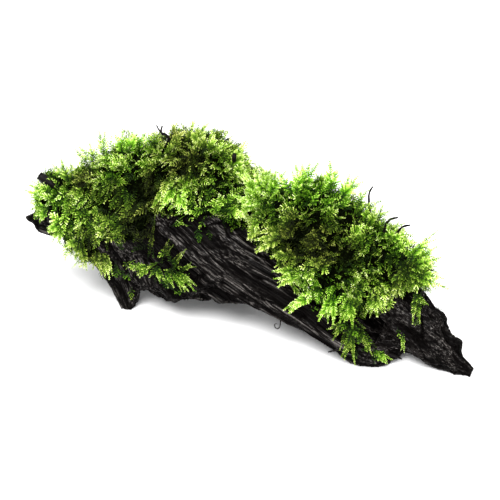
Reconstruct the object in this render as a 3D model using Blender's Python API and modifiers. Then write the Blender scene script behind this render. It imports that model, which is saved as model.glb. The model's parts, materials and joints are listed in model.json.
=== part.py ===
"""Christmas moss grown on a piece of driftwood.

The wood is one furrowed trunk that rises to a broken end at -X and forks into a front branch and a
right branch at +X. It stands on a left foot, the front branch's toe, the right branch's tip and a
foot behind. The moss grows over its top in two large patches, with two tufts and a hanging sprig
in front. Metres, +Z up, the length along X, the front towards -Y. Sizes are in millimetres until a
mesh is made from them.
"""

import math
from collections import namedtuple

import bmesh
import bpy
from mathutils import Matrix, Vector, noise

MM = 0.001

# The trunk's ends, the fork and the points that the wood stands on
LEFT_END_X = -109
FORK_X = -12
LEFT_FOOT = (-60.5, -7)
FRONT_TOE = (60, -8)
RIGHT_TIP = (108, 1)
BACK_FOOT = (-20, 34)
BELOW_FLOOR = 4  # how far a foot is modelled past the floor before it is cut off flat

# The wood's section and its furrows
RING_POINTS = 30
RING_SPACING = 3
SQUARENESS = 2.5
FURROWS = ((4, 0.1), (9, 0.08), (15, 0.03))  # ridges round a limb, and their depth by its radius
RIDGE_LEVEL = 1.3  # above the middle of a ridge and its furrow, so that the wood loses more than it gains
FURROW_TWIST = 0.012  # radians along each millimetre
FURROW_WANDER = 0.03  # how fast the twist turns back, in radians along each millimetre
GNARL = 0.16  # the swell and shrink of a limb by its radius
GNARL_ALONG = 0.035  # swells in a millimetre
GNARL_ROUND = 1.6
SPUR_BEND = 0.55  # the share of its length where a spur narrows
SPUR_WAIST = (0.6, 0.55)  # its half width and half height there, by the sum of its end radii
SPUR_SEED = 0.7
WOOD_VOXEL = 1.7
WOOD_SMOOTHING = 2  # passes
WOOD_TRIANGLES = 3600

# The moss's tufts
MOSS_VOXEL = 2.4
TUFT_SIZE = 11
TUFT_HEIGHT = 7
TUFT_BY_LUMP = 0.8  # a tuft's height by its smallest lump's radius, where that is less
TUFT_LEVEL = 0.45
PATCH_TRIANGLES = 1350
FRONT_TUFT_TRIANGLES = 320
LOW_TUFT_TRIANGLES = 200
SPRIG_TRIANGLES = 120

GAP = 0.32  # between solids that touch
GROWTH = 1.3 * GAP  # of a body that cuts its neighbour, because a hollow in it comes nearer than this
FINENESS = 3  # subdivisions of a lump's or a scoop's ball

Station = namedtuple("Station", "x y z across upright")
Lump = namedtuple("Lump", "x y z rx ry rz")

# Each limb is a row of sections: the middle, and half of the width and of the height
TRUNK = (
    Station(LEFT_END_X, 3, 40, 8, 3.5),
    Station(-101, 3, 39.5, 13.5, 7.5),
    Station(-90, 4, 38, 19, 13),
    Station(-72, 7, 35, 22, 20),
    Station(-50, 8, 33, 23, 25),
    Station(-30, 9, 33, 23, 24.5),
    Station(-8, 11, 33, 22, 19),
    Station(8, 12, 34, 15, 12),
)
FRONT_BRANCH = (
    Station(-44, 0, 36, 13, 21),
    Station(-30, -1, 34, 12.5, 22),
    Station(-14, -2, 31.5, 12, 18.5),
    Station(2, -4, 28.5, 10.5, 13),
    Station(18, -6, 23, 9.5, 9.5),
    Station(32, -7, 18, 9, 7.5),
    Station(48, -8, 11, 8.5, 6),
    Station(FRONT_TOE[0], FRONT_TOE[1], 4, 7, 5),
    Station(70, -4, 3.5, 4, 3.5),
)
RIGHT_BRANCH = (
    Station(-34, 20, 36, 15, 18),
    Station(-4, 21, 39, 16, 16),
    Station(25, 19, 37, 15, 16),
    Station(48, 16, 26, 13, 20),
    Station(66, 10, 20, 12, 16.5),
    Station(79, 6.5, 15, 11, 12.5),
    Station(91, 3, 8, 7.5, 7.5),
    Station(100.5, 1.5, 4, 4.2, 4.2),
    Station(RIGHT_TIP[0], RIGHT_TIP[1], 1.5, 2.5, 2.5),
)
LEFT_LEG = (
    Station(-78, 6, 37, 15, 15),
    Station(-70, 2, 22, 12, 12.5),
    Station(-63, -3, 10, 7.5, 8),
    Station(LEFT_FOOT[0], LEFT_FOOT[1], 1, 3.9, 3.9),
    Station(LEFT_FOOT[0] + 1, LEFT_FOOT[1], -BELOW_FLOOR, 3.4, 3.4),
)
BACK_LEG = (
    Station(-24, 22, 34, 15, 17),
    Station(-22, 28, 18, 11, 13),
    Station(BACK_FOOT[0], BACK_FOOT[1], 4, 7, 8),
    Station(BACK_FOOT[0], BACK_FOOT[1] + 1, -BELOW_FLOOR, 6, 6.5),
)
# Points and knobs of broken wood: root, tip, and the radius at each
SPURS = (
    ((-98, -5, 36), (-116, -7, 35.5), 5, 1.4),
    ((-98, -6, 33), (-110, -8.5, 32), 4.5, 1.8),
    ((-100, -1, 41), (-111, -3, 41.5), 4.5, 2.6),
    ((-98, 4, 43), (-110, 3, 47.5), 4.5, 2.2),
    ((-95, 8, 45), (-109, 4, 54), 4, 2.4),
    ((-98, 14, 40), (-111, 19, 39), 5.5, 2),
    ((81, 6, 15), (91, 10.5, 22.5), 6, 2.2),
    ((89, 4, 8), (101.5, 5, 14.5), 4.5, 1.8),
    ((64, -4, 5), (74.5, -1, 3.2), 4.2, 2),
    ((-8, 34, 30), (4, 45, 22), 6, 2),
    ((60, 20, 20), (74, 30, 11), 6, 1.8),
    ((48, 17, 15), (66, 7, 6), 9, 5.5),
)
# Scoops out of the wood: middle and radii
HOLLOWS = (
    Lump(-42, -16, 10, 6, 9, 5),
    Lump(-19, -16, 13.5, 7.5, 11, 5.5),
    Lump(-6, 6, 10, 16, 12, 9),
    Lump(-48, 14, 4, 22, 12, 10),
    Lump(28, 3, 31, 26, 6, 10),
    Lump(57, 2, 19, 10, 6, 11),
    Lump(-50, -20, 40, 12, 8, 13),
    Lump(28, 22, 14, 34, 14, 12),
    Lump(-60, 38, 24, 18, 8, 8),
)

# Where the wood is split: boxes given by their lowest and highest corners
LEFT_FOOT_BOX = ((-90, -40, -20), (-52, 12, 12))
BACK_FOOT_BOX = ((-45, 20, -20), (2, 70, 10))
FRONT_BOXES = (((FORK_X, -60, -20), (62, 5, 90)), ((61, -60, -20), (75, 5, 10)))
FRONT_SLANT = -0.07  # y by x of the split between the two branches
FAR = 300

LEFT_PATCH = (
    Lump(-101, 3, 46, 14.5, 17, 12),
    Lump(-83, 5, 47, 18, 23, 19),
    Lump(-80, -8, 33, 15, 12, 14),
    Lump(-66, 10, 58, 20, 26, 20),
    Lump(-60, -9, 47, 17, 12, 17),
    Lump(-42, 12, 64.5, 22, 27, 21.5),
    Lump(-26, 11, 66, 17.5, 24, 22),
    Lump(-10, 9, 60, 12, 20, 12.5),
    Lump(-84, 22, 42, 20, 17, 16),
    Lump(-54, 31, 50, 26, 17, 22),
    Lump(-28, 29, 53, 19, 17, 19.5),
)
RIGHT_PATCH = (
    Lump(9, 9, 54.5, 17, 23, 16),
    Lump(30, 9, 56, 23, 25, 20),
    Lump(35, -8, 44, 18, 13, 17),
    Lump(54, 6, 46, 19, 20, 21),
    Lump(53, -8, 34, 17, 12, 15),
    Lump(73, 4, 45, 15.5, 13.5, 13.5),
    Lump(19, 27, 45, 21, 16, 17),
    Lump(44, 24, 41, 22, 15, 18),
    Lump(64, 18, 30, 14, 10, 13),
)
FRONT_TUFT = (
    Lump(-50, -14, 26, 8, 6, 4),
    Lump(-38, -15, 25, 11, 7, 5),
    Lump(-26, -15, 22.5, 8, 6, 4.5),
    Lump(-34, -14, 33, 7, 3.5, 7),
)
LOW_TUFT = (
    Lump(54, -15, 19, 6.5, 6, 7),
    Lump(60.5, -14.5, 11.5, 5.5, 5.5, 8),
)
HANGING_SPRIG = (
    Lump(83, -4.5, 33, 3, 3, 5),
    Lump(84, -5, 26, 2.4, 2.4, 5.5),
)
PATCH_EDGE = (1, -0.3)  # x of the cleft between the two patches at y = 0, and its slope by y

UP = Vector((0, 0, 1))
ALONG = Vector((1, 0, 0))
SPUR_UP = Vector((0, 0.6, 0.8))
# Each limb's sections, the axis that their height runs towards, and the seed of its furrows
LIMBS = {
    "trunk": (TRUNK, UP, 1.3),
    "front_branch": (FRONT_BRANCH, UP, 2.9),
    "right_branch": (RIGHT_BRANCH, UP, 4.1),
    "left_leg": (LEFT_LEG, ALONG, 5.2),
    "back_leg": (BACK_LEG, ALONG, 6.7),
}

COLOURS = {
    "driftwood": ((0.022, 0.018, 0.018), 0.55),
    "moss": ((0.10, 0.26, 0.03), 0.7),
}


def clear_scene():
    for obj in list(bpy.data.objects):
        bpy.data.objects.remove(obj, do_unlink=True)


def new_object(name, bm, collection):
    mesh = bpy.data.meshes.new(name)
    bm.to_mesh(mesh)
    bm.free()
    obj = bpy.data.objects.new(name, mesh)
    collection.objects.link(obj)
    return obj


def baked(obj):
    """Apply the object's modifiers."""
    bpy.context.view_layer.update()
    graph = bpy.context.evaluated_depsgraph_get()
    mesh = bpy.data.meshes.new_from_object(obj.evaluated_get(graph))
    obj.modifiers.clear()
    obj.data = mesh
    return obj


def modified(obj, kind, **settings):
    modifier = obj.modifiers.new(kind.title(), kind)
    for name, value in settings.items():
        setattr(modifier, name, value)
    return baked(obj)


def boolean(obj, operation, other):
    return modified(obj, "BOOLEAN", operation=operation, object=other, solver="EXACT")


def copy_of(obj, name, collection):
    twin = bpy.data.objects.new(name, obj.data.copy())
    collection.objects.link(twin)
    return twin


def thinned(obj, triangles):
    """Reduce the mesh to about this many triangles."""
    obj.data.calc_loop_triangles()
    ratio = triangles / len(obj.data.loop_triangles)
    return modified(obj, "DECIMATE", ratio=min(ratio, 1))


def keep_largest(obj):
    """Delete the chips that a cut leaves beside the main body."""
    bm = bmesh.new()
    bm.from_mesh(obj.data)
    bmesh.ops.remove_doubles(bm, verts=bm.verts, dist=0.002 * MM)
    waiting, bodies = set(bm.verts), []
    while waiting:
        body, edge = set(), [waiting.pop()]
        while edge:
            vert = edge.pop()
            body.add(vert)
            near = {e.other_vert(vert) for e in vert.link_edges} & waiting
            waiting -= near
            edge += near
        bodies.append(body)
    bodies.sort(key=len)
    for body in bodies[:-1]:
        bmesh.ops.delete(bm, geom=list(body), context="VERTS")
    bm.to_mesh(obj.data)
    bm.free()
    return obj


def through(stations):
    """Closely spaced stations on a smooth curve through these."""
    padded = (stations[0], *stations, stations[-1])
    dense = []
    for a, b, c, d in zip(padded, padded[1:], padded[2:], padded[3:]):
        length = math.dist(b[:3], c[:3])
        steps = max(2, round(length / RING_SPACING))
        for step in range(steps):
            t = step / steps
            dense.append([
                q + 0.5 * t * ((r - p) + t * ((2 * p - 5 * q + 4 * r - s) + t * (3 * (q - r) + s - p)))
                for p, q, r, s in zip(a, b, c, d)
            ])
    dense.append(list(stations[-1]))
    return dense


def furrowed(angle, along, seed):
    """The radius of the wood at this angle round a limb, as a share of its plain radius."""
    share = 1
    for ridges, depth in FURROWS:
        twist = FURROW_TWIST * along * math.sin(FURROW_WANDER * along + seed)
        turn = ridges * (angle + twist) + seed
        share += depth * (2 * abs(math.sin(turn / 2)) - RIDGE_LEVEL)
    round_limb = GNARL_ROUND * Vector((0, math.cos(angle), math.sin(angle)))
    return share + GNARL * noise.noise(round_limb + Vector((GNARL_ALONG * along + 7 * seed, 0, 0)))


def limb(name, stations, reference, seed, collection):
    """A closed tube of furrowed sections. The sections' height runs towards the reference axis."""
    rows = through(stations)
    middles = [Vector(row[:3]) for row in rows]
    bm = bmesh.new()
    rings = []
    along = 0
    for i, row in enumerate(rows):
        before, after = middles[max(i - 1, 0)], middles[min(i + 1, len(rows) - 1)]
        forward = (after - before).normalized()
        upright = (reference - forward * reference.dot(forward)).normalized()
        across = forward.cross(upright)
        along += (middles[i] - before).length
        ring = []
        for k in range(RING_POINTS):
            angle = 2 * math.pi * k / RING_POINTS
            c, s = math.cos(angle), math.sin(angle)
            round_off = (abs(c) ** SQUARENESS + abs(s) ** SQUARENESS) ** (-1 / SQUARENESS)
            reach = round_off * furrowed(angle, along, seed)
            spot = middles[i] + across * (c * reach * row[3]) + upright * (s * reach * row[4])
            ring.append(bm.verts.new(spot * MM))
        rings.append(ring)
    for a, b in zip(rings, rings[1:]):
        for k in range(RING_POINTS):
            j = (k + 1) % RING_POINTS
            bm.faces.new((a[k], a[j], b[j], b[k]))
    bm.faces.new(rings[0][::-1])
    bm.faces.new(rings[-1])
    bmesh.ops.recalc_face_normals(bm, faces=bm.faces)
    return new_object(name, bm, collection)


def spur(root, tip, root_radius, tip_radius, seed, collection):
    """A broken stub of wood."""
    root, tip = Vector(root), Vector(tip)
    waist = [share * (root_radius + tip_radius) for share in SPUR_WAIST]
    stations = (
        Station(*root, root_radius, root_radius),
        Station(*root.lerp(tip, SPUR_BEND), *waist),
        Station(*tip, tip_radius, tip_radius),
    )
    return limb("spur", stations, SPUR_UP, seed, collection)


def ellipsoid(bm, lump):
    place = Matrix.Translation(Vector((lump.x, lump.y, lump.z)) * MM)
    size = Matrix.Diagonal((lump.rx * MM, lump.ry * MM, lump.rz * MM, 1))
    bmesh.ops.create_icosphere(bm, subdivisions=FINENESS, radius=1, matrix=place @ size)


def block(name, low, high, collection, grown=0.0, slant=0.0):
    """A box between two corners, in millimetres, made larger all round by grown. Its y leans by slant."""
    low = Vector(low) - Vector((grown,) * 3)
    high = Vector(high) + Vector((grown,) * 3)
    bm = bmesh.new()
    size = Matrix.Diagonal((*((high - low) * MM), 1))
    bmesh.ops.create_cube(bm, size=1, matrix=Matrix.Translation((low + high) / 2 * MM) @ size)
    for vert in bm.verts:
        vert.co.y += slant * (vert.co.x - FORK_X * MM)
    return new_object(name, bm, collection)


def front_region(name, collection, grown=0.0):
    """The space that the front branch has: beside the right branch, and under it at its toe."""
    tall, low = (block(name, *box, collection, grown, FRONT_SLANT) for box in FRONT_BOXES)
    return boolean(tall, "UNION", low)


def joined(name, pieces, collection):
    bm = bmesh.new()
    for piece in pieces:
        bm.from_mesh(piece.data)
        bpy.data.objects.remove(piece)
    return new_object(name, bm, collection)


def whole_wood(cutters):
    """The driftwood before it is split: limbs and spurs run together, scooped out and cut at the floor."""
    pieces = [limb(name, *shape, cutters) for name, shape in LIMBS.items()]
    pieces += [spur(*shape, SPUR_SEED * n, cutters) for n, shape in enumerate(SPURS)]
    wood = joined("whole_wood", pieces, cutters)
    modified(wood, "REMESH", mode="VOXEL", voxel_size=WOOD_VOXEL * MM)
    scoops = bmesh.new()
    for hollow in HOLLOWS:
        ellipsoid(scoops, hollow)
    scoops = new_object("hollows", scoops, cutters)
    modified(scoops, "REMESH", mode="VOXEL", voxel_size=WOOD_VOXEL * MM)
    boolean(wood, "DIFFERENCE", scoops)
    modified(wood, "REMESH", mode="VOXEL", voxel_size=WOOD_VOXEL * MM)
    modified(wood, "SMOOTH", iterations=WOOD_SMOOTHING)
    thinned(wood, WOOD_TRIANGLES)
    floor = block("under_floor", (-FAR, -FAR, -FAR), (FAR, FAR, 0), cutters)
    return keep_largest(boolean(wood, "DIFFERENCE", floor))


def wood_pieces(wood, parts, cutters):
    """The driftwood split at its forks and feet, with a narrow gap at each split."""
    foot = block("left_foot_box", *LEFT_FOOT_BOX, cutters)
    foot_gap = block("left_foot_gap", *LEFT_FOOT_BOX, cutters, GAP)
    back = block("back_foot_box", *BACK_FOOT_BOX, cutters)
    back_gap = block("back_foot_gap", *BACK_FOOT_BOX, cutters, GAP)
    front = front_region("front_region", cutters)
    front_gap = front_region("front_gap", cutters, GAP)
    forked = block("forked_side", (FORK_X, -FAR, -FAR), (FAR, FAR, FAR), cutters)
    trunk_side = block("trunk_side", (-FAR, -FAR, -FAR), (FORK_X - GAP, FAR, FAR), cutters)
    split = {
        "driftwood_trunk": (trunk_side, (foot_gap, back_gap)),
        "driftwood_left_foot": (foot, ()),
        "driftwood_back_foot": (back, ()),
        "driftwood_front_branch": (front, ()),
        "driftwood_right_branch": (forked, (front_gap, back_gap)),
    }
    pieces = []
    for name, (kept, removed) in split.items():
        piece = boolean(copy_of(wood, name, parts), "INTERSECT", kept)
        for cutter in removed:
            boolean(piece, "DIFFERENCE", cutter)
        pieces.append(keep_largest(piece))
    return pieces


def moss(name, lumps, triangles, removed, parts):
    """A patch of moss: lumps run together, raised into tufts and hollowed where the wood is."""
    bm = bmesh.new()
    for lump in lumps:
        ellipsoid(bm, lump)
    patch = new_object(name, bm, parts)
    modified(patch, "REMESH", mode="VOXEL", voxel_size=MOSS_VOXEL * MM)
    tufts = bpy.data.textures.new("tufts", "VORONOI")
    tufts.noise_scale = TUFT_SIZE * MM
    height = min(TUFT_HEIGHT, TUFT_BY_LUMP * min(min(lump[3:]) for lump in lumps))
    modified(patch, "DISPLACE", texture=tufts, strength=-height * MM, mid_level=TUFT_LEVEL)
    modified(patch, "REMESH", mode="VOXEL", voxel_size=MOSS_VOXEL * MM)
    thinned(patch, triangles)
    for cutter in removed:
        boolean(patch, "DIFFERENCE", cutter)
    return keep_largest(patch)


def patch_side(name, side, cutters):
    """Everything on one side of the cleft between the two patches: side is -1 for left, 1 for right."""
    start, slope = PATCH_EDGE
    low, high = (-FAR, start + GAP / 2) if side < 0 else (start - GAP / 2, FAR)
    obj = block(name, (low, -FAR, -FAR), (high, FAR, FAR), cutters)
    for vert in obj.data.vertices:
        vert.co.x += slope * vert.co.y
    return obj


def moss_patches(wood, parts, cutters):
    bark = copy_of(wood, "wood_and_gap", cutters)
    modified(bark, "DISPLACE", strength=GROWTH * MM, mid_level=0)
    left_half = patch_side("left_half", -1, cutters)
    right_half = patch_side("right_half", 1, cutters)
    left = moss("moss_left_patch", LEFT_PATCH, PATCH_TRIANGLES, (bark, right_half), parts)
    right = moss("moss_right_patch", RIGHT_PATCH, PATCH_TRIANGLES, (bark, left_half), parts)
    grown = [copy_of(patch, patch.name + "_and_gap", cutters) for patch in (left, right)]
    for patch in grown:
        modified(patch, "DISPLACE", strength=GROWTH * MM, mid_level=0)
    neighbours = (bark, *grown)
    return [
        left,
        right,
        moss("moss_front_tuft", FRONT_TUFT, FRONT_TUFT_TRIANGLES, neighbours, parts),
        moss("moss_low_tuft", LOW_TUFT, LOW_TUFT_TRIANGLES, neighbours, parts),
        moss("moss_hanging_sprig", HANGING_SPRIG, SPRIG_TRIANGLES, neighbours, parts),
    ]


def give_material(obj, finish):
    material = bpy.data.materials.new(obj.name)
    material.use_nodes = True
    colour, roughness = COLOURS[finish]
    shader = material.node_tree.nodes["Principled BSDF"]
    shader.inputs["Base Color"].default_value = (*colour, 1)
    shader.inputs["Roughness"].default_value = roughness
    shader.inputs["Metallic"].default_value = 0
    obj.data.materials.clear()
    obj.data.materials.append(material)


def centre_over_floor(pieces):
    """Move everything so that the middle of its footprint is the origin. The feet are at z = 0 already."""
    spots = [vert.co for piece in pieces for vert in piece.data.vertices]
    shift = Vector([-(min(s[i] for s in spots) + max(s[i] for s in spots)) / 2 for i in (0, 1)] + [0])
    for piece in pieces:
        piece.data.transform(Matrix.Translation(shift))
    return shift


def main():
    clear_scene()
    scene = bpy.context.scene
    parts = bpy.data.collections.new("christmas_moss_on_driftwood")
    cutters = bpy.data.collections.new("cutters")
    for collection in (parts, cutters):
        scene.collection.children.link(collection)
    wood = whole_wood(cutters)
    wood_parts = wood_pieces(wood, parts, cutters)
    moss_parts = moss_patches(wood, parts, cutters)
    for piece in wood_parts:
        give_material(piece, "driftwood")
    for piece in moss_parts:
        give_material(piece, "moss")
    shift = centre_over_floor(wood_parts + moss_parts)
    for helper in cutters.objects:
        helper.hide_render = True
        helper.display_type = "WIRE"
        helper.location = shift


main()
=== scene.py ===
"""The looks of christmas moss on driftwood: wet, furrowed wood under moss that is made frond by frond.

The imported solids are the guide. The wood is their shape with its grain raised on it. Each moss solid
is the reach of a patch: its fronds grow from tufts under that surface and their tips end on it.
Metres, +Z up, the length along X, the front towards -Y.
"""

import json
import math
from collections import namedtuple

import bmesh
import bpy
import numpy as np
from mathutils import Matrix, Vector
from mathutils.bvhtree import BVHTree

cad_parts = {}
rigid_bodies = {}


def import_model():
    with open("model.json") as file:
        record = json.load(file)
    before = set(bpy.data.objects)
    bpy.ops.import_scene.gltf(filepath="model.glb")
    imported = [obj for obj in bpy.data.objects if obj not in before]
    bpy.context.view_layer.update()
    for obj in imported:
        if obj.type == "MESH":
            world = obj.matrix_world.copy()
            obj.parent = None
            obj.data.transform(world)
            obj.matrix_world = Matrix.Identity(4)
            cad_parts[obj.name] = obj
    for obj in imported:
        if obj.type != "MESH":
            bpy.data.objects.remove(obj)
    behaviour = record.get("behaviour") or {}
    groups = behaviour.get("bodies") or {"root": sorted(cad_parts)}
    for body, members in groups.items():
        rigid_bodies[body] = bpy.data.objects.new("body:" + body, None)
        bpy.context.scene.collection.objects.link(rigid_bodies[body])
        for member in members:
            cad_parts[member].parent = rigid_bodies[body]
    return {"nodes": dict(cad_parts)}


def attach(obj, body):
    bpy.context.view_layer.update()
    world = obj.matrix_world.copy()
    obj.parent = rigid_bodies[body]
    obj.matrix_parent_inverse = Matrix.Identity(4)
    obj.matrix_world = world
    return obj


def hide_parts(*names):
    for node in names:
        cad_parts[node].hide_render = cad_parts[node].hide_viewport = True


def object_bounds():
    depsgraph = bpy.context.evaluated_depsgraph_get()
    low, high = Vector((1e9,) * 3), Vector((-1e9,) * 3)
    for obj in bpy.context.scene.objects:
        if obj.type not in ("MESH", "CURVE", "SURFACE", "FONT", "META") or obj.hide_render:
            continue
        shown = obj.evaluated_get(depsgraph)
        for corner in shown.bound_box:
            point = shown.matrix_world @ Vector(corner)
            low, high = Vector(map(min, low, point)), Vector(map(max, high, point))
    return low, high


MM = 0.001

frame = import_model()
CAD_BOX = [list(corner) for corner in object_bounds()]
NODES = frame["nodes"]

WOOD_NODES = [name for name in sorted(NODES) if name.startswith("driftwood")]
MOSS_NODES = [name for name in sorted(NODES) if name.startswith("moss")]
PATCHES = [name for name in MOSS_NODES if name.endswith("patch")]
MERGE = 0.01 * MM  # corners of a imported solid's triangles that are as near as this are one

# The photograph's view
VIEW_TURN = math.radians(26.5)
VIEW_RISE = math.radians(25)
VIEW_DISTANCE = 0.8
VIEW_AIM = Vector((4, -13.3, 39)) * MM
LENS = 128
SENSOR = 36
TO_CAMERA = np.array((
    math.sin(VIEW_TURN) * math.cos(VIEW_RISE),
    -math.cos(VIEW_TURN) * math.cos(VIEW_RISE),
    math.sin(VIEW_RISE),
))

# The studio's soft light
WORLD_LIGHT = 0.33
KEY_LIGHT = 5.5
KEY_SPREAD = math.radians(35)
KEY_FROM = (0.05, -0.7, 0.86)
# The name, place, size and power of the other lamps, and where they point
SOFT_LAMPS = (("fill", (0.55, -0.8, 0.4), 0.8, 8), ("rim", (0.3, 0.35, 0.85), 0.6, 8))
LAMPS_AIM = (0, 0, 0.04)

# The wood
WOOD_VOXEL = 0.5 * MM
SPLIT_GAP = 0.3 * MM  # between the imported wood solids, which are one piece here
WOOD_SMOOTHING = 6
WOOD_TRIANGLES = 185000
GRAIN_HEIGHT = 0.9 * MM
HIDING_GAP = 1.5 * MM  # moss as near as this hides the wood under it
HIDDEN_THINNING = 0.9  # the share of its triangles that the wood loses there
FOOT_FLAT = 0.35 * MM  # wood lower than this is flat on the floor
# The middle of each limb, from its root to its end, in millimetres
LIMB_LINES = (
    (
        (-112, -11, 39), (-86, -6, 37), (-46, 4, 40), (-4, 8, 40),
        (29, 8, 38), (52, 4, 27), (83, -7, 15), (112, -12, 1),
    ),
    (
        (-64, -16, 74), (-42, -20, 57), (-19, -22, 41), (2, -22, 29),
        (30, -21, 18), (60, -21, 6), (80, -18, 3),
    ),
    ((-86, -8, 62), (-73, -14, 34), (-57, -20, 0)),
    ((-24, 0, 60), (-20, 12, 24), (-17, 21, 0)),
)
LIMB_STEPS = 12
LIMB_LEVEL = (0, 0.35, 0.94)  # no limb runs this way, so it fixes which side of each is up
LIMB_APART = 300  # keeps the limbs' patterns from being the same
LIMB_BLEND = 5  # millimetres over which the grain of one limb runs into the next

# How often each pattern on the wood changes in a millimetre, along the fibres and twice across them
BROAD_RIDGES = (0.010, 0.15, 0.15)
FINE_RIDGES = (0.025, 0.75, 0.75)
CRACKS = (0.015, 0.12, 0.12)
GRAIN_LINES = (0.03, 1.7, 1.7)
GRAIN_SPECKS = (0.7, 2.4, 2.4)
PRONG_SPAN = (55 * MM, 75 * MM)  # from the first to the second X, the pale lines turn into the prong's pale specks, partly grain and partly painted glints

# How often the other patterns change in a metre
STAIN_SCALE = 40.0
TANGLE_SCALE = 900.0
TANGLE_PATCHES = 90.0
BARK_SCALE = 900.0

# The colours of wet wood, with painted shade in its furrows and painted highlights on its pale grain, of the
# tangle of old stems, near-black with painted shade, and of the dead twigs' bark
FURROW = (0.0002, 0.00016, 0.00015, 1)
STAINED_FURROW = (0.0016, 0.0012, 0.0011, 1)
CREST = (0.0060, 0.0048, 0.0043, 1)
# Pale grain, which also paints the wet wood's highlights
PALE_GRAIN_AND_HIGHLIGHT = (0.138, 0.126, 0.117, 1)
TANGLE_SHADE_GREEN = (0.0004, 0.0010, 0.0003, 1)
TANGLE_SHADE_BROWN = (0.0016, 0.0018, 0.0006, 1)
TANGLE_STEMS = (0.008, 0.013, 0.003, 1)
BARK_DARK = (0.0008, 0.0006, 0.0006, 1)
BARK_PALE = (0.006, 0.0045, 0.004, 1)

# The colours of a leaf, from the root of a frond, near-black with painted shade, to its tip, pale from fresh
# growth and a painted highlight
YOUNG = (
    (0.0, (0.001, 0.004, 0.001)), (0.22, (0.010, 0.040, 0.002)), (0.42, (0.10, 0.27, 0.007)),
    (0.66, (0.44, 0.70, 0.09)), (1.0, (0.84, 0.95, 0.48)),
)
OLD = (
    (0.0, (0.001, 0.002, 0.0005)), (0.22, (0.010, 0.014, 0.002)), (0.42, (0.07, 0.10, 0.010)),
    (0.66, (0.33, 0.37, 0.07)), (1.0, (0.68, 0.72, 0.34)),
)
# Where the moss is olive, with a tone below 0, or fresh green, and where it is in shade, with a light
# below 1: the middle and radius in millimetres, the tone and the light
ZONES = (
    ((-80, -21, 61), 8, -0.7, 0.6),
    ((-58, -27, 54), 8, -0.2, 0.75),
    ((-44, -27, 45), 10, -0.6, 0.35),
    ((-32, -28, 38), 12, -0.2, 0.9),
    ((-32, -31, 23), 12, 0.2, 0.85),
    ((61, -29, 15), 12, -0.1, 0.65),
    ((88, -18, 30), 8, -0.1, 0.8),
    ((-42, -26, 66), 9, -0.7, 0.5),
    ((-26, -16, 76), 9, -0.7, 0.7),
    ((-40, -4, 84), 9, -0.5, 0.9),
    ((-68, -29, 29), 11, -0.4, 0.8),
    ((-60, -10, 78), 14, 0.4, 1.0),
    ((-90, -25, 46), 13, 0.5, 1.0),
    ((-24, -26, 63), 8, 0.4, 1.0),
    ((-2, -20, 68), 10, 0.4, 1.0),
    ((20, -12, 72), 12, 0.5, 1.0),
    ((40, -10, 74), 12, 0.6, 1.0),
    ((34, -28, 58), 12, -0.7, 0.55),
    ((50, -25, 53), 11, -0.5, 0.7),
    ((47, -31, 34), 12, 0.6, 1.0),
    ((78, -20, 48), 8, -0.3, 0.5),
    ((76, -12, 60), 12, 0.3, 1.0),
)

# Each kind of branchlet: its pairs of leaves, and half of its width by its length
BRANCHLETS = (
    ("branchlet_0_long", 3, 0.17),
    ("branchlet_1_middle", 2, 0.21),
    ("branchlet_2_short", 1, 0.30),
)

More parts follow.
